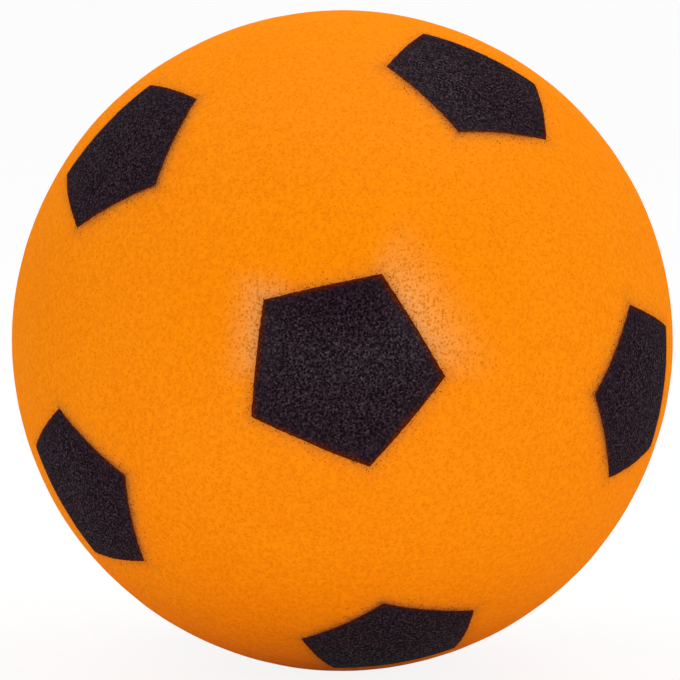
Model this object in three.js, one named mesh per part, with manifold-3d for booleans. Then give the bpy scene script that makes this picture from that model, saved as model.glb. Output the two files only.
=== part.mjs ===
// A soft foam football: one solid foam ball with twelve ink pentagons let into its surface.
// Millimetres, +Z up. The origin is the ball's centre, and the ball's front faces -Y.

import * as THREE from 'three';
import { ConvexGeometry } from 'three/addons/geometries/ConvexGeometry.js';
import { mergeVertices } from 'three/addons/utils/BufferGeometryUtils.js';
import Module from 'manifold-3d';

// Foam ball, and how far the soft foam flattens where it stands on a floor
const ballDiameter = 200;
const restingFlatDepth = 0.7;

// How deep the ink soaks into the open cells, and its gap to the dry foam around and below it
const inkDepth = 1;
const inkClearance = 0.3;

// The spray mask covers half the ball, with a window at its pole and a ring of windows around that.
// A reach runs along the ball's surface, from a window's middle to its corners.
const poleReach = 30.5;
const ringReach = 28.5;
// Share of its reach that a window keeps along its axis, which runs through one of its corners
const poleSquash = 0.96;
const ringSquash = 0.93;
// A window's sides splay away from that corner by this share of its half width.
const poleSplay = 0.05;
const ringSplay = 0.12;

// Degrees that the pole window's axis is turned round the pole
const poleAzimuth = 216;
// Middles of the hand-cut ring windows: degrees of tilt from the pole and of azimuth round it,
// and of twist about the window's own middle, away from pointing at the pole
const ringPlaces = [
  { tilt: 61, azimuth: 177.5, twist: 1 },
  { tilt: 61.5, azimuth: 248.5, twist: 0 },
  { tilt: 63, azimuth: 321.5, twist: 2 },
  { tilt: 63, azimuth: 33, twist: 3 },
  { tilt: 63, azimuth: 106, twist: 0 },
];

// How the mask is held to the ball, in degrees: spin about its pole, then lift above the level
const maskSpin = 31;
const maskLift = 2.5;

// Facets along each edge of the icosahedron that a round surface is drawn from
const facetsPerEdge = 13;

const foamOrange = 0xfa8a0c;
const inkBlack = 0x26222a;
const foamRoughness = 0.95;
const inkRoughness = 0.85;

const cornerCount = 5;
const ballRadius = ballDiameter / 2;
const inkFloorRadius = ballRadius - inkDepth;
const seatFloorRadius = inkFloorRadius - inkClearance;
const rightAngle = Math.PI / 2;
const radians = THREE.MathUtils.degToRad;

const wasm = await Module();
wasm.setup();

function solidFrom(geometry) {
  geometry.deleteAttribute('normal');
  geometry.deleteAttribute('uv');
  const merged = mergeVertices(geometry);
  const mesh = new wasm.Mesh({
    numProp: 3,
    vertProperties: merged.attributes.position.array,
    triVerts: Uint32Array.from(merged.index.array),
  });
  return new wasm.Manifold(mesh);
}

function geometryFrom(solid) {
  const mesh = solid.getMesh();
  const geometry = new THREE.BufferGeometry();
  geometry.setAttribute('position', new THREE.BufferAttribute(mesh.vertProperties, 3));
  geometry.setIndex(new THREE.BufferAttribute(mesh.triVerts, 1));
  geometry.computeVertexNormals();
  return geometry;
}

function roundSolid(radius) {
  return solidFrom(new THREE.IcosahedronGeometry(radius, facetsPerEdge - 1));
}

// The direction reached from +Z by going out along +X and across along +Y on the ball's surface
function surfaceDirection(out, across) {
  const arc = Math.hypot(out, across);
  const heading = Math.atan2(across, out);
  const tilt = arc / ballRadius;
  return new THREE.Vector3(
    Math.sin(tilt) * Math.cos(heading),
    Math.sin(tilt) * Math.sin(heading),
    Math.cos(tilt),
  );
}

// A five-sided pyramid from the ball's centre out through a window whose middle is on +Z.
// Its sides cut the ball along great circles, and the corner on its axis points along -X.
function windowPyramid({ reach, squash, splay }, margin) {
  const cornerReach = reach + margin / Math.cos(Math.PI / cornerCount);
  const points = [new THREE.Vector3()];
  for (let corner = 0; corner < cornerCount; corner += 1) {
    const angle = Math.PI + (2 * Math.PI * corner) / cornerCount;
    const out = cornerReach * squash * Math.cos(angle);
    const across = cornerReach * Math.sin(angle) * (1 + splay * Math.cos(angle));
    points.push(surfaceDirection(out, across).multiplyScalar(ballDiameter));
  }
  return new ConvexGeometry(points);
}

// The layer of foam that the ink has soaked, as deep as the ink and flush with the ball
function inkLayer(window) {
  const pyramid = solidFrom(windowPyramid(window, 0));
  const layer = roundSolid(ballRadius).intersect(pyramid).subtract(roundSolid(inkFloorRadius));
  return geometryFrom(layer);
}

function pentagonMesh(name, window, layer, turn) {
  const ink = new THREE.MeshStandardMaterial({ color: inkBlack, roughness: inkRoughness, metalness: 0 });
  const mesh = new THREE.Mesh(layer, ink);
  mesh.name = name;
  mesh.userData.window = window;
  mesh.rotation.z = radians(turn);
  return mesh;
}

const poleWindow = { reach: poleReach, squash: poleSquash, splay: poleSplay };
const ringWindow = { reach: ringReach, squash: ringSquash, splay: ringSplay };
const poleLayer = inkLayer(poleWindow);
const ringLayer = inkLayer(ringWindow);

// Six pentagons, as one half of the mask lays them around +Z
function halfPattern(side) {
  const half = new THREE.Group();
  half.add(pentagonMesh(`pentagon_${side}_centre`, poleWindow, poleLayer, poleAzimuth));
  ringPlaces.forEach((place, index) => {
    const stand = new THREE.Group();
    stand.rotation.set(0, radians(place.tilt), radians(place.azimuth), 'ZYX');
    stand.add(pentagonMesh(`pentagon_${side}_ring_${index + 1}`, ringWindow, ringLayer, place.twist));
    half.add(stand);
  });
  return half;
}

// The same mask prints both halves: it is turned over for the back.
const frontHalf = halfPattern('front');
const backHalf = halfPattern('back');
backHalf.rotation.y = Math.PI;

const mask = new THREE.Group();
mask.rotation.z = radians(maskSpin);
mask.add(frontHalf, backHalf);

const pattern = new THREE.Group();
pattern.rotation.x = rightAngle - radians(maskLift);
pattern.add(mask);
pattern.updateMatrixWorld(true);

// The foam under one pentagon is cut away to leave its seat, a clearance wider and deeper.
function seatCutter(pentagon) {
  const pyramid = windowPyramid(pentagon.userData.window, inkClearance);
  pyramid.applyMatrix4(pentagon.matrixWorld);
  return solidFrom(pyramid).subtract(roundSolid(seatFloorRadius));
}

function floorBlock() {
  const block = new THREE.BoxGeometry(ballDiameter, ballDiameter, ballRadius);
  block.translate(0, 0, restingFlatDepth - ballRadius - ballRadius / 2);
  return solidFrom(block);
}

function foamBall() {
  let foam = roundSolid(ballRadius).subtract(floorBlock());
  pattern.traverse((piece) => {
    if (piece.isMesh) {
      foam = foam.subtract(seatCutter(piece));
    }
  });
  const finish = new THREE.MeshStandardMaterial({
    color: foamOrange,
    roughness: foamRoughness,
    metalness: 0,
  });
  const mesh = new THREE.Mesh(geometryFrom(foam), finish);
  mesh.name = 'foam_ball';
  return mesh;
}

const ball = new THREE.Group();
ball.add(foamBall(), pattern);

export default ball;
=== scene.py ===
"""Looks of the soft foam football: open-celled foam, sprayed ink, floor, light and camera."""
import math

import bmesh
import bpy
import numpy as np
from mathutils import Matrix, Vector, noise


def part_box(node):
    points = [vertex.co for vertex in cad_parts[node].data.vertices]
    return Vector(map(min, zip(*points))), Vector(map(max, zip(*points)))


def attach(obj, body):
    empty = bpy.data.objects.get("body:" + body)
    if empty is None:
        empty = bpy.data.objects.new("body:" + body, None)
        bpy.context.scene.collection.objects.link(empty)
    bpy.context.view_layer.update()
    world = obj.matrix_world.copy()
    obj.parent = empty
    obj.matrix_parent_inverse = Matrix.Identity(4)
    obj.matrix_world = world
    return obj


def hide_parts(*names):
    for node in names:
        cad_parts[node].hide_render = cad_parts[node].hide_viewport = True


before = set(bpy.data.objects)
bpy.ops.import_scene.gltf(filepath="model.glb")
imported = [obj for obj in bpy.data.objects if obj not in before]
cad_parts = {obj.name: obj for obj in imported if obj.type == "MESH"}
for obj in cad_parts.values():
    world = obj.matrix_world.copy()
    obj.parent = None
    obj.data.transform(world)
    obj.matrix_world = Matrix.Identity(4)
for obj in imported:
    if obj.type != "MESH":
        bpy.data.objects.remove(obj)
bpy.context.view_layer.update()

MM = 0.001
FOAM_NODE = "foam_ball"
FOAM_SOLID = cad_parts[FOAM_NODE].data
BALL_RADIUS = max(vertex.co.length for vertex in FOAM_SOLID.vertices)
FLOOR_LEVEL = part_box(FOAM_NODE)[0].z

# A pentagon's corners, and the least turn about its middle from one to the next
CORNERS = 5
LEAST_CORNER_TURN = math.radians(45)

# The mask's windows on each side of the ball
SIDES = ("front", "back")
RING_COUNT = 5

# Foam surface: rows of faces along a cube's edge before it is blown up to a ball, the
# (wavelength, height) of its unevenness, and how softly it rounds into its resting flat
FOAM_ROWS = 128
FOAM_RELIEF = ((28 * MM, 0.16 * MM), (9 * MM, 0.07 * MM), (3.2 * MM, 0.04 * MM))
FLAT_ROUNDING = 0.15 * MM

# Seat under an ink layer: it starts inside the pentagon's edge and deepens inward
SEAT_START = 0.6 * MM
SEAT_END = 2.4 * MM
SEAT_DEPTH = 0.9 * MM

# Overspray: its reach beyond a pentagon's edge, and its share of the surface at that edge.
# It lies evenly round the windows at the pole. At the ring windows it drifts towards the pole,
# from least to most between two cosines of the angle to the pole.
SPRAY_REACH = 1.6 * MM
POLE_SPRAY = 0.5
RING_SPRAY = (0.35, 1.0)
DRIFT_FACING = (0.1, 0.6)

# Zones beside the window at the pole where the foam has a glossy film, a painted pale
# highlight and painted shade in its pores. Each lies towards the gap between two ring windows,
# leans to the first of them by a share, reaches so far beyond the window's edge, and grows
# between two cosines of the angle from its heading.
FILM_AND_PAINTED_HIGHLIGHTS = (
    {"windows": (5, 1), "lean": 0.68, "reach": 6 * MM, "facing": (0.8, 0.98)},
    {"windows": (4, 3), "lean": 0.56, "reach": 10 * MM, "facing": (0.7, 0.97)},
)

# Ink layer: rows of faces from its middle to its edge, its thickness at the edge and inside and
# the taper between them, how far it stands proud, and the rim where the ink is thin, whose width
# wanders by the shares of (wavelength, share) pairs
INK_ROWS = 60
INK_EDGE_THICKNESS = 0.12 * MM
INK_THICKNESS = 0.7 * MM
INK_TAPER = 3 * MM
INK_PROUD = 0.05 * MM
POLE_RIM = 1.8 * MM
RING_RIM = 1.1 * MM
RIM_WANDER = ((7 * MM, 0.6),)

# The (wavelength, height) of the ink's own unevenness and of its frayed edge, how closely the
# fray keeps to the edge, the blunting of the corners and how far along the sides it reaches, and
# the angle from which an edge is shaded sharp
INK_RELIEF = ((1.3 * MM, 0.05 * MM),)
EDGE_FRAY = ((1.2 * MM, 0.18 * MM), (5 * MM, 0.08 * MM))
FRAY_DEPTH_POWER = 12
CORNER_BLUNTING = 0.05 * MM
CORNER_SPAN = 0.7 * MM
SHARP_ANGLE = math.radians(40)

# Camera: distance in ball radii, height angle, and the ball's place in the 680 pixel frame
VIEW_DISTANCE = 16 * BALL_RADIUS
VIEW_ELEVATION = math.radians(7)
FRAME_PIXELS = 680
BALL_PIXEL_RADIUS = 330.3
BALL_PIXEL_CENTRE = (342.3, 340.6)
SENSOR_WIDTH = 36


def smooth_step(low, high, value):
    share = np.clip((value - low) / (high - low), 0, 1)
    return share * share * (3 - 2 * share)


def unit(vectors):
    return vectors / np.linalg.norm(vectors, axis=-1, keepdims=True)


def relief(points, waves):
    """Summed noise at each point, for (wavelength, height) pairs."""
    heights = np.zeros(len(points))
    for wavelength, height in waves:
        scaled = points / wavelength
        heights += height * np.array([noise.noise(point) for point in scaled])
    return heights


def turn_between(first, second):
    """Smallest angle between two headings."""
    full = 2 * math.pi
    return abs((first - second + math.pi) % full - math.pi)


class Pentagon:
    """A pentagon's middle, corners and edges as directions from the ball's centre."""

    def __init__(self, node):
        self.node = node
        self.pole = None
        self.highlight_targets = []
        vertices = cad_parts[node].data.vertices
        points = unit(np.array([vertex.co[:] for vertex in vertices]))
        self.middle = unit(points.mean(axis=0))
        self.corners = self.find_corners(points)
        edges = np.cross(self.corners, np.roll(self.corners, -1, axis=0))
        self.edge_planes = unit(edges)

    def find_corners(self, points):
        """The five outermost points, a fair turn apart, in order round the middle."""
        side = unit(np.cross(self.middle, points[0]))
        up = np.cross(self.middle, side)
        turns = np.arctan2(points @ up, points @ side)
        chosen = []
        for index in np.argsort(points @ self.middle):
            gaps = [turn_between(turns[index], turns[other]) for other in chosen]
            if min(gaps, default=math.pi) > LEAST_CORNER_TURN:
                chosen.append(index)
        chosen.sort(key=lambda index: turns[index])
        return points[chosen]

    def inset(self, directions):
        """Distance along the surface from the nearest edge, positive inside the pentagon."""
        return BALL_RADIUS * np.arcsin(directions @ self.edge_planes.T).min(axis=1)

    def outside(self, directions):
        """Distance outside the pentagon, or 0 inside it."""
        return np.maximum(-self.inset(directions), 0)

    def facing(self, directions, target):
        """Cosine between the headings from the middle to each direction and to a target."""
        away = directions - (directions @ self.middle)[:, None] * self.middle
        wanted = target - (target @ self.middle) * self.middle
        return unit(away) @ unit(wanted)

    def overspray(self, directions):
        """Share of the surface that overspray covers at each direction."""
        share = POLE_SPRAY
        if self.pole is not None:
            least, most = RING_SPRAY
            drift = smooth_step(*DRIFT_FACING, self.facing(directions, self.pole))
            share = least + (most - least) * drift
        return share * np.exp(-self.outside(directions) / SPRAY_REACH)

    def film_and_painted_highlight(self, directions):
        """Share of the glossy film and painted highlight at each direction."""
        strongest = np.zeros(len(directions))
        for target, film_and_painted_highlight in zip(self.highlight_targets, FILM_AND_PAINTED_HIGHLIGHTS):
            share = smooth_step(*film_and_painted_highlight["facing"], self.facing(directions, target))
            share *= np.exp(-((self.outside(directions) / film_and_painted_highlight["reach"]) ** 2))
            strongest = np.maximum(strongest, share)
        return strongest


def find_pentagons():
    pentagons = []
    for side in SIDES:
        centre = Pentagon(f"pentagon_{side}_centre")
        ring = [Pentagon(f"pentagon_{side}_ring_{place + 1}") for place in range(RING_COUNT)]
        for film_and_painted_highlight in FILM_AND_PAINTED_HIGHLIGHTS:
            first, second = (ring[place - 1].middle for place in film_and_painted_highlight["windows"])
            lean = film_and_painted_highlight["lean"]
            centre.highlight_targets.append(unit(lean * first + (1 - lean) * second))
        for pentagon in ring:
            pentagon.pole = centre.middle
        pentagons += [centre, *ring]
    return pentagons


def mesh_object(name, vertices, faces):
    mesh = bpy.data.meshes.new(name)
    mesh.from_pydata(vertices.tolist(), [], faces)
    mesh.shade_smooth()
    mesh.validate()
    piece = bpy.data.objects.new(name, mesh)
    bpy.context.scene.collection.objects.link(piece)
    return piece


def store(piece, name, values):
    attribute = piece.data.attributes.new(name, "FLOAT", "POINT")
    attribute.data.foreach_set("value", values.astype(np.float32))


def foam_directions():
    """Directions and faces of an even grid on the ball, blown up from a cube's faces."""
    grid = bmesh.new()
    bmesh.ops.create_cube(grid, size=2)
    bmesh.ops.subdivide_edges(grid, edges=grid.edges[:], cuts=FOAM_ROWS - 1, use_grid_fill=True)
    points = np.array([vertex.co[:] for vertex in grid.verts])
    grid.verts.index_update()
    faces = [[vertex.index for vertex in face.verts] for face in grid.faces]
    grid.free()
    return unit(np.tan(points * math.pi / 4)), faces


def build_foam(pentagons):
    directions, faces = foam_directions()
    inset = np.max([pentagon.inset(directions) for pentagon in pentagons], axis=0)
    heights = relief(directions * BALL_RADIUS, FOAM_RELIEF)
    seats = SEAT_DEPTH * smooth_step(SEAT_START, SEAT_END, inset)
    points = directions * (BALL_RADIUS + heights - seats)[:, None]
    above = points[:, 2] - FLOOR_LEVEL
    points[:, 2] = FLOOR_LEVEL + FLAT_ROUNDING * np.logaddexp(0, above / FLAT_ROUNDING)
    piece = mesh_object("foam", points, faces)
    sprays = [pentagon.overspray(directions) for pentagon in pentagons]
    highlight_shares = [pentagon.film_and_painted_highlight(directions) for pentagon in pentagons]
    store(piece, "overspray", np.max(sprays, axis=0))
    store(piece, "film_and_painted_highlight", np.max(highlight_shares, axis=0))
    return piece


def ink_lattice():
    """Each point's row, side of the pentagon and share along that side, and the triangles."""
    rows, sides, shares, faces = [0], [0], [0.0], []
    for row in range(1, INK_ROWS + 1):
        start = len(rows)
        inner_start = start - CORNERS * (row - 1) if row > 1 else 0
        inner_count = max(CORNERS * (row - 1), 1)
        for side in range(CORNERS):
            for step in range(row):
                rows.append(row)
                sides.append(side)
                shares.append(step / row)
                here = start + side * row + step
                after = start + (side * row + step + 1) % (CORNERS * row)
                inner = inner_start + (side * (row - 1) + step) % inner_count
                inner_after = inner_start + (side * (row - 1) + step + 1) % inner_count
                faces.append((here, after, inner))
                if step < row - 1:
                    faces.append((inner, after, inner_after))
    return np.array(rows), np.array(sides), np.array(shares), faces


def ink_directions(pentagon, rows, sides, shares):
    """Lattice points spread over the pentagon, with a frayed edge and blunted corners."""
    corners = pentagon.corners
    starts = corners[sides]
    ends = corners[(sides + 1) % CORNERS]
    along = shares[:, None]
    rim = starts * (1 - along) + ends * along
    side_length = BALL_RADIUS * np.linalg.norm(ends - starts, axis=1)
    corner_gap = np.minimum(shares, 1 - shares) * side_length
    fray = relief(unit(rim) * BALL_RADIUS, EDGE_FRAY)
    fray -= CORNER_BLUNTING * np.exp(-((corner_gap / CORNER_SPAN) ** 2))
    rim_reach = BALL_RADIUS * np.linalg.norm(unit(rim) - pentagon.middle, axis=1)
    outward = rows / INK_ROWS
    outward = outward * (1 + outward**FRAY_DEPTH_POWER * fray / rim_reach)
    return unit(pentagon.middle * (1 - outward)[:, None] + rim * outward[:, None])


def build_ink(pentagon, lattice):
    rows, sides, shares, top_faces = lattice
    directions = ink_directions(pentagon, rows, sides, shares)
    inset = pentagon.inset(directions)
    surface = directions * BALL_RADIUS
    taper = smooth_step(0, INK_TAPER, inset)
    heights = INK_PROUD + relief(surface, FOAM_RELIEF) + taper * relief(surface, INK_RELIEF)
    thickness = INK_EDGE_THICKNESS + (INK_THICKNESS - INK_EDGE_THICKNESS) * taper
    top = directions * (BALL_RADIUS + heights)[:, None]
    bottom = directions * (BALL_RADIUS + heights - thickness)[:, None]
    count = len(top)
    bottom_faces = [tuple(count + index for index in reversed(face)) for face in top_faces]
    rim = np.flatnonzero(rows == INK_ROWS).tolist()
    rim_pairs = zip(rim, rim[1:] + rim[:1])
    walls = [(here, count + here, count + after, after) for here, after in rim_pairs]
    faces = top_faces + bottom_faces + walls
    piece = mesh_object("ink_" + pentagon.node, np.vstack((top, bottom)), faces)
    piece.data.set_sharp_from_angle(angle=SHARP_ANGLE)
    rim_width = POLE_RIM if pentagon.pole is None else RING_RIM
    thin = 1 - smooth_step(0, rim_width * (1 + relief(surface, RIM_WANDER)), inset)
    store(piece, "inside_ink", np.concatenate((inset, inset)) / MM)
    store(piece, "thin_ink", np.concatenate((thin, thin)))
    return piece


class Nodes:
    """Adds shader nodes to a node tree and joins them."""

    def __init__(self, tree):
        self.tree = tree
        self.tree.nodes.clear()

    def add(self, kind, **settings):
        node = self.tree.nodes.new(kind)
        for name, value in settings.items():
            setattr(node, name, value)
        return node

    def join(self, source, target):
        self.tree.links.new(source, target)

    def feed(self, target, value):
        if isinstance(value, bpy.types.NodeSocket):
            self.join(value, target)
        else:
            target.default_value = value

    def math(self, operation, first, second):
        node = self.add("ShaderNodeMath", operation=operation)
        self.feed(node.inputs[0], first)
        self.feed(node.inputs[1], second)
        return node.outputs[0]

    def remap(self, value, source, target):
        """Carries a value smoothly from one (start, end) range to another."""
        node = self.add("ShaderNodeMapRange", interpolation_type="SMOOTHSTEP")
        for socket, setting in zip(node.inputs, (value, *source, *target)):
            self.feed(socket, setting)
        return node.outputs[0]

    def between(self, data_type, share, first, second):
        node = self.add("ShaderNodeMix", data_type=data_type)
        self.feed(node.inputs["Factor"], share)
        self.feed(node.inputs["A"], first)
        self.feed(node.inputs["B"], second)
        return node.outputs["Result"]

    def ramp(self, share, first, second):
        """The number between two others at a share of the way."""
        return self.between("FLOAT", share, first, second)

    def mix(self, share, first, second):
        """The colour between two others at a share of the way."""
        return self.between("RGBA", share, first, second)

    def noise(self, place, scale, detail):
        node = self.add("ShaderNodeTexNoise")
        self.join(place, node.inputs["Vector"])
        node.inputs["Scale"].default_value = scale
        node.inputs["Detail"].default_value = detail
        return node.outputs["Fac"]

    def cells(self, place, scale, feature="F1"):
        """Distance from each cell's middle or edge, and a random colour for each cell."""
        node = self.add("ShaderNodeTexVoronoi", feature=feature)
        self.join(place, node.inputs["Vector"])
        node.inputs["Scale"].default_value = scale
        return node.outputs["Distance"], node.outputs.get("Color")

    def chance(self, colour):
        """One random value from a cell's random colour."""
        channels = self.add("ShaderNodeSeparateColor")
        self.join(colour, channels.inputs["Color"])
        return channels.outputs["Red"]

    def wander(self, place, scale, reach):
        """Places pushed about by noise, so that what is drawn on them looks grown, not drawn."""
        node = self.add("ShaderNodeTexNoise")
        self.join(place, node.inputs["Vector"])
        node.inputs["Scale"].default_value = scale
        push = self.add("ShaderNodeVectorMath", operation="MULTIPLY_ADD")
        self.join(node.outputs["Color"], push.inputs[0])
        push.inputs[1].default_value = (reach, reach, reach)
        self.join(place, push.inputs[2])
        return push.outputs[0]

    def speckle(self, place, per_mm, radii, odds):
        """Share of the surface under spots, in as many cells as the odds say."""
        distance, colour = self.cells(place, per_mm)
        landed = self.math("LESS_THAN", self.chance(colour), odds)
        return self.math("MULTIPLY", landed, self.remap(distance, radii, (0, 1)))

    def attribute(self, name):
        return self.add("ShaderNodeAttribute", attribute_name=name).outputs["Fac"]

    def millimetres(self):
        """Places on the ball in millimetres, so that a texture's scale is a count in each."""
        place = self.add("ShaderNodeTexCoord").outputs["Object"]
        scaled = self.add("ShaderNodeVectorMath", operation="SCALE")
        self.join(place, scaled.inputs[0])
        scaled.inputs["Scale"].default_value = 1 / MM
        return scaled.outputs[0]

    def bump(self, height, strength, distance):
        node = self.add("ShaderNodeBump")
        self.join(height, node.inputs["Height"])
        node.inputs["Strength"].default_value = strength
        node.inputs["Distance"].default_value = distance
        return node.outputs["Normal"]

    def surface(self, **values):
        """A principled shader with these values."""
        shader = self.add("ShaderNodeBsdfPrincipled")
        for name, value in values.items():
            self.feed(shader.inputs[name.replace("_", " ")], value)
        return shader.outputs["BSDF"]

    def finish(self, surface, kind="ShaderNodeOutputMaterial"):
        self.join(surface, self.add(kind).inputs["Surface"])


def new_material(name):
    material = bpy.data.materials.new(name)
    material.use_nodes = True
    return material, Nodes(material.node_tree)


# Open cells of the foam, and the larger pores among them in bare foam and in ink: how many there
# are along a millimetre, and the distances, in their own widths, over which their walls slope
CELLS_PER_MM = 1.6
CELL_WALLS = (0.05, 0.4)
PORES_PER_MM = 1.0
PORE_RADII = (0.4, 0.22)
INK_PORES_PER_MM = 1.2
INK_PORE_RADII = (0.65, 0.3)

# How finely and how far, in millimetres, noise pushes cells and pores about, how strongly they
# are embossed and how deep, and a cell's depth as a share of a pore's
WANDER_PER_MM = 1.8
WANDER_REACH = 0.35
CELL_BUMP = 0.45
CELL_DEPTH = 0.25 * MM
CELL_SHARE = 0.5

# Painted shade of the foam in its cells and in its pores, its darker blotches, and its broad pale
# patches
CELL_SHADE = 0.1
PORE_SHADE = 0.31
BLOTCHES_PER_MM = 0.7
BLOTCH_DETAIL = 0.0
BLOTCH_RANGE = (0.25, 0.75)
BLOTCH_SHADE = 0.24
PATCHES_PER_MM = 0.035
PATCH_DETAIL = 2.0
PATCH_RANGE = (0.35, 0.7)
FOAM_ROUGHNESS = 0.9

# Cell walls catch the lamps as a glossy film on a small share of the surface, and pores, spots
# and drops have little or none. The foam's share grows from plain foam to the full highlight zone.
# The ink's is that of its brightest painted glint.
FOAM_FILM = (0.03, 0.12)
INK_FILM = 0.185
FILM_IOR = 2.0
FILM_ROUGHNESS = 0.33

# Overspray: how much its mist covers, how much faster than the mist its drops thin out, the
# cells along a millimetre for drops of two sizes, the distances in those cells over which a drop
# fades, and how much a drop covers
MIST_COVER = 0.75
DROP_POWER = 1.8
DROPS_PER_MM = (3.0, 1.7)
DROP_RADII = (0.55, 0.3)
DROP_COVER = 0.8

# Painted pale highlight on the walls in the highlight zones, and brown spots of painted shade
# there
PAINTED_HIGHLIGHT_COVER = 0.44
SPOTS_PER_MM = 0.95
SPOT_RADII = (0.5, 0.25)
SPOT_COVER = 0.6

# Painted glints on the ink's grains: how many lie along a millimetre, how far each fades, the
# light of the dimmest glint and of the plain ink, and the painted shade of a pore as a share of
# what is around it. Towards the edge, over these distances in millimetres, a share of all that
# gives way to one even light.
GLINTS_PER_MM = 1.4
GLINT_RADII = (0.6, 0.15)
GLINT_DIMMEST = 0.25
INK_GROUND = 0.25
INK_PORE_LIGHT = 0.22
INK_EVEN_RANGE = (8, 0.5)
INK_EVEN_SHARE = 0.35
INK_EVEN = 0.25
INK_ROUGHNESS = 0.85

# Colours of the foam, of its darker tone and of its painted shade in cells and pores, of the ink
# where it is deep and where it is thin, each running from painted shade to painted glint, and of
# the overspray, the painted highlight and the painted shade of spots on the foam
ORANGE = (0.965, 0.26, 0.0005, 1)
ORANGE_PALE = (0.97, 0.27, 0.001, 1)
ORANGE_DARK_TONE_AND_PAINTED_SHADE = (0.7, 0.14, 0.0005, 1)
INK_PAINTED_SHADE = (0.001, 0.0005, 0.0008, 1)
INK_PAINTED_GLINT = (0.06, 0.025, 0.0435, 1)
THIN_INK_PAINTED_SHADE = (0.045, 0.006, 0.0005, 1)
THIN_INK_PAINTED_GLINT = (0.22, 0.03, 0.001, 1)
SPRAY_BLACK = (0.06, 0.035, 0.03, 1)
DROP_BROWN = (0.14, 0.04, 0.004, 1)
PAINTED_HIGHLIGHT_TAN = (0.78, 0.42, 0.14, 1)
SPOT_PAINTED_SHADE = (0.6, 0.15, 0.002, 1)


def foam_cells(nodes, pores_per_mm, pore_radii):
    """Places among the cells, and the depth in the cells and in the pores there, from 0 to 1."""
    place = nodes.wander(nodes.millimetres(), WANDER_PER_MM, WANDER_REACH)
    edge, _ = nodes.cells(place, CELLS_PER_MM, "DISTANCE_TO_EDGE")
    middle, _ = nodes.cells(place, pores_per_mm)
    cell = nodes.remap(edge, CELL_WALLS, (0, 1))
    pore = nodes.remap(middle, pore_radii, (0, 1))
    return place, cell, pore


def wall_share(nodes, cell, pore):
    """Share of the surface that stands proud of the cells and pores."""
    pits = nodes.math("MAXIMUM", nodes.math("MULTIPLY", cell, CELL_SHARE), pore)
    return nodes.math("SUBTRACT", 1, pits)


def film_surface(nodes, colour, roughness, film, cell, pore):
    """A matt surface with pits for its cells and pores, and a film on the walls between them."""
    pits = nodes.math("ADD", pore, nodes.math("MULTIPLY", cell, CELL_SHARE))
    height = nodes.math("MULTIPLY", pits, -1)
    return nodes.surface(
        Base_Color=colour,
        Roughness=roughness,
        Specular_IOR_Level=0.0,
        Coat_Weight=film,
        Coat_Roughness=FILM_ROUGHNESS,
        Coat_IOR=FILM_IOR,
        Normal=nodes.bump(height, CELL_BUMP, CELL_DEPTH),
    )


def foam_material():
    material, nodes = new_material("foam_orange")
    place, cell, pore = foam_cells(nodes, PORES_PER_MM, PORE_RADII)
    patches = nodes.noise(place, PATCHES_PER_MM, PATCH_DETAIL)
    colour = nodes.mix(nodes.remap(patches, PATCH_RANGE, (0, 1)), ORANGE, ORANGE_PALE)
    blotches = nodes.noise(place, BLOTCHES_PER_MM, BLOTCH_DETAIL)
    colour = nodes.mix(nodes.remap(blotches, BLOTCH_RANGE, (0, BLOTCH_SHADE)), colour, ORANGE_DARK_TONE_AND_PAINTED_SHADE)
    # Painted shade: darker orange in the cells and in the pores
    colour = nodes.mix(nodes.math("MULTIPLY", cell, CELL_SHADE), colour, ORANGE_DARK_TONE_AND_PAINTED_SHADE)
    colour = nodes.mix(nodes.math("MULTIPLY", pore, PORE_SHADE), colour, ORANGE_DARK_TONE_AND_PAINTED_SHADE)
    film_and_painted_highlight = nodes.attribute("film_and_painted_highlight")
    # Painted highlight: pale tan on the cell walls where the lamps' highlights fall beside the
    # pole windows
    painted_highlight = nodes.math("MULTIPLY", film_and_painted_highlight, PAINTED_HIGHLIGHT_COVER)
    painted_highlight = nodes.math("MULTIPLY", painted_highlight, wall_share(nodes, cell, pore))
    colour = nodes.mix(painted_highlight, colour, PAINTED_HIGHLIGHT_TAN)
    # Painted shade: brown spots in pores in the same zones
    spots = nodes.speckle(place, SPOTS_PER_MM, SPOT_RADII, film_and_painted_highlight)
    colour = nodes.mix(nodes.math("MULTIPLY", spots, SPOT_COVER), colour, SPOT_PAINTED_SHADE)
    spray = nodes.attribute("overspray")
    colour = nodes.mix(nodes.math("MULTIPLY", spray, MIST_COVER), colour, SPRAY_BLACK)
    dropped = nodes.math("POWER", spray, DROP_POWER)
    matt = nodes.math("MAXIMUM", pore, spots)
    for drops_per_mm in DROPS_PER_MM:
        drops = nodes.speckle(place, drops_per_mm, DROP_RADII, dropped)
        colour = nodes.mix(nodes.math("MULTIPLY", drops, DROP_COVER), colour, DROP_BROWN)
        matt = nodes.math("MAXIMUM", matt, drops)
    film = nodes.ramp(film_and_painted_highlight, *FOAM_FILM)
    film = nodes.math("MULTIPLY", film, nodes.math("SUBTRACT", 1, matt))
    nodes.finish(film_surface(nodes, colour, FOAM_ROUGHNESS, film, cell, pore))
    return material


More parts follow.
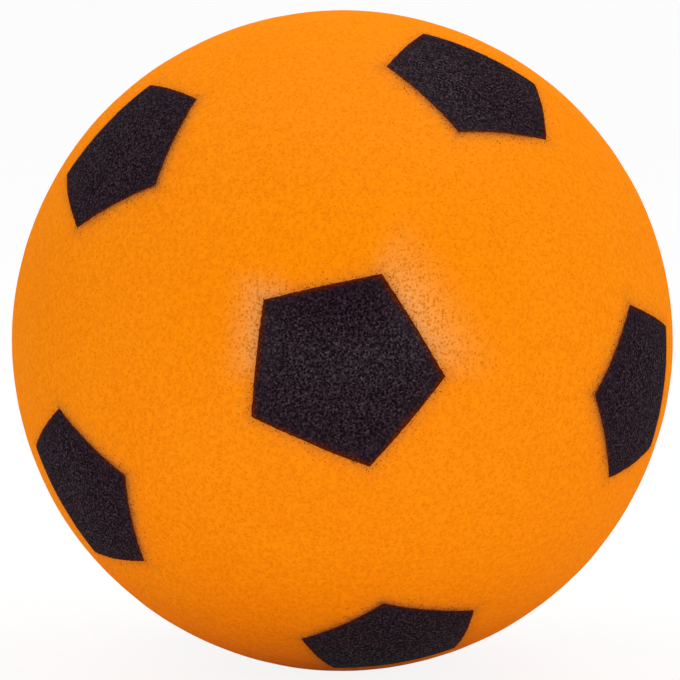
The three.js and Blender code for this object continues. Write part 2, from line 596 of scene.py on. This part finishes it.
def ink_material():
    material, nodes = new_material("ink_black")
    place, cell, pore = foam_cells(nodes, INK_PORES_PER_MM, INK_PORE_RADII)
    # Painted glints on the grains and painted shade in the pores, evened out towards the edge
    distance, chances = nodes.cells(place, GLINTS_PER_MM)
    glint = nodes.remap(distance, GLINT_RADII, (0, 1))
    glint = nodes.math("MULTIPLY", glint, nodes.ramp(nodes.chance(chances), GLINT_DIMMEST, 1.0))
    painted_light = nodes.ramp(glint, INK_GROUND, 1.0)
    painted_light = nodes.math("MULTIPLY", painted_light, nodes.ramp(pore, 1.0, INK_PORE_LIGHT))
    evened = nodes.remap(nodes.attribute("inside_ink"), INK_EVEN_RANGE, (0, INK_EVEN_SHARE))
    painted_light = nodes.ramp(evened, painted_light, INK_EVEN)
    thin = nodes.attribute("thin_ink")
    # The ink's colours run from painted shade to painted glint
    deep_colour = nodes.mix(painted_light, INK_PAINTED_SHADE, INK_PAINTED_GLINT)
    thin_colour = nodes.mix(painted_light, THIN_INK_PAINTED_SHADE, THIN_INK_PAINTED_GLINT)
    colour = nodes.mix(thin, deep_colour, thin_colour)
    film = nodes.math("MULTIPLY", painted_light, INK_FILM)
    film = nodes.math("MULTIPLY", film, nodes.math("SUBTRACT", 1, thin))
    nodes.finish(film_surface(nodes, colour, INK_ROUGHNESS, film, cell, pore))
    return material


def dress(piece, node, material):
    piece.data.materials.append(material)
    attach(piece, "root")
    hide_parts(node)


def build_ball():
    pentagons = find_pentagons()
    dress(build_foam(pentagons), FOAM_NODE, foam_material())
    ink = ink_material()
    lattice = ink_lattice()
    for pentagon in pentagons:
        dress(build_ink(pentagon, lattice), pentagon.node, ink)


# Floor: it shows white, apart from the share that its own lighting, and so the shadow, has in it
FLOOR_CORNERS = ((-8.0, -8.0), (8.0, -8.0), (8.0, 8.0), (-8.0, 8.0))
FLOOR_GAP = 0.05 * MM
FLOOR_WHITE = (0.95, 0.95, 0.95, 1)
FLOOR_ROUGHNESS = 0.9
SHADOW_SHARE = 0.12


def build_floor():
    corners = np.array([(x, y, FLOOR_LEVEL - FLOOR_GAP) for x, y in FLOOR_CORNERS])
    floor = mesh_object("floor", corners, [(0, 1, 2, 3)])
    material, nodes = new_material("floor_white")
    matt = nodes.surface(Base_Color=FLOOR_WHITE, Roughness=FLOOR_ROUGHNESS, Specular_IOR_Level=0.0)
    rays = nodes.add("ShaderNodeLightPath").outputs
    seen = nodes.math("MAXIMUM", rays["Is Camera Ray"], rays["Is Glossy Ray"])
    seen = nodes.math("MAXIMUM", seen, rays["Is Transmission Ray"])
    blend = nodes.add("ShaderNodeMixShader")
    nodes.join(nodes.math("MULTIPLY", seen, 1 - SHADOW_SHARE), blend.inputs["Fac"])
    nodes.join(matt, blend.inputs[1])
    nodes.join(nodes.add("ShaderNodeEmission").outputs["Emission"], blend.inputs[2])
    nodes.finish(blend.outputs["Shader"])
    floor.data.materials.append(material)


def soft_box(name, place, size, watts):
    """An area lamp of a width and a height, turned to the ball."""
    light = bpy.data.lights.new(name, "AREA")
    light.shape = "RECTANGLE"
    light.size, light.size_y = size
    light.energy = watts
    lamp = bpy.data.objects.new(name, light)
    lamp.location = place
    lamp.rotation_euler = (-Vector(place)).to_track_quat("-Z", "Y").to_euler()
    bpy.context.scene.collection.objects.link(lamp)


# Lamps: each one's place, its width and height in metres, and its watts
LAMPS = {
    "left_strip": {"place": (-0.52, -1.06, 0.27), "size": (0.08, 0.4), "watts": 1.0},
    "right_strip": {"place": (0.46, -1.07, 0.35), "size": (0.1, 0.45), "watts": 1.55},
    "low_box": {"place": (0.05, -1.25, 0.03), "size": (1.2, 0.2), "watts": 3.0},
    "top_box": {"place": (0.15, 0.1, 1.1), "size": (1.2, 1.2), "watts": 5.2},
}

# The studio's light is white all round and fades towards the front, where most lamps stand: it
# grows from least to most as a direction's Y runs between two values. To the camera it shows
# white on every side.
STUDIO_WHITE = (1, 1, 1, 1)
STUDIO_TURN = (-0.95, -0.1)
STUDIO_LIGHT = (0.02, 1.0)


def build_light():
    for name, lamp in LAMPS.items():
        soft_box(name, **lamp)
    world = bpy.data.worlds.new("studio")
    world.use_nodes = True
    nodes = Nodes(world.node_tree)
    axes = nodes.add("ShaderNodeSeparateXYZ")
    nodes.join(nodes.add("ShaderNodeTexCoord").outputs["Generated"], axes.inputs["Vector"])
    glow = nodes.remap(axes.outputs["Y"], STUDIO_TURN, STUDIO_LIGHT)
    background = nodes.add("ShaderNodeBackground")
    background.inputs["Color"].default_value = STUDIO_WHITE
    seen = nodes.add("ShaderNodeLightPath").outputs["Is Camera Ray"]
    nodes.join(nodes.math("MAXIMUM", glow, seen), background.inputs["Strength"])
    nodes.finish(background.outputs["Background"], "ShaderNodeOutputWorld")
    bpy.context.scene.world = world


def build_camera():
    camera = bpy.data.cameras.new("camera")
    focal_pixels = BALL_PIXEL_RADIUS * math.sqrt((VIEW_DISTANCE / BALL_RADIUS) ** 2 - 1)
    camera.sensor_width = SENSOR_WIDTH
    camera.lens = SENSOR_WIDTH * focal_pixels / FRAME_PIXELS
    camera.shift_x = (FRAME_PIXELS / 2 - BALL_PIXEL_CENTRE[0]) / FRAME_PIXELS
    camera.shift_y = (BALL_PIXEL_CENTRE[1] - FRAME_PIXELS / 2) / FRAME_PIXELS
    stand = bpy.data.objects.new("camera", camera)
    back = Vector((0, -math.cos(VIEW_ELEVATION), math.sin(VIEW_ELEVATION)))
    stand.location = back * VIEW_DISTANCE
    stand.rotation_euler = (-back).to_track_quat("-Z", "Y").to_euler()
    bpy.context.scene.collection.objects.link(stand)
    bpy.context.scene.camera = stand


build_ball()
build_floor()
build_light()
build_camera()
bpy.context.scene.view_settings.view_transform = "Standard"
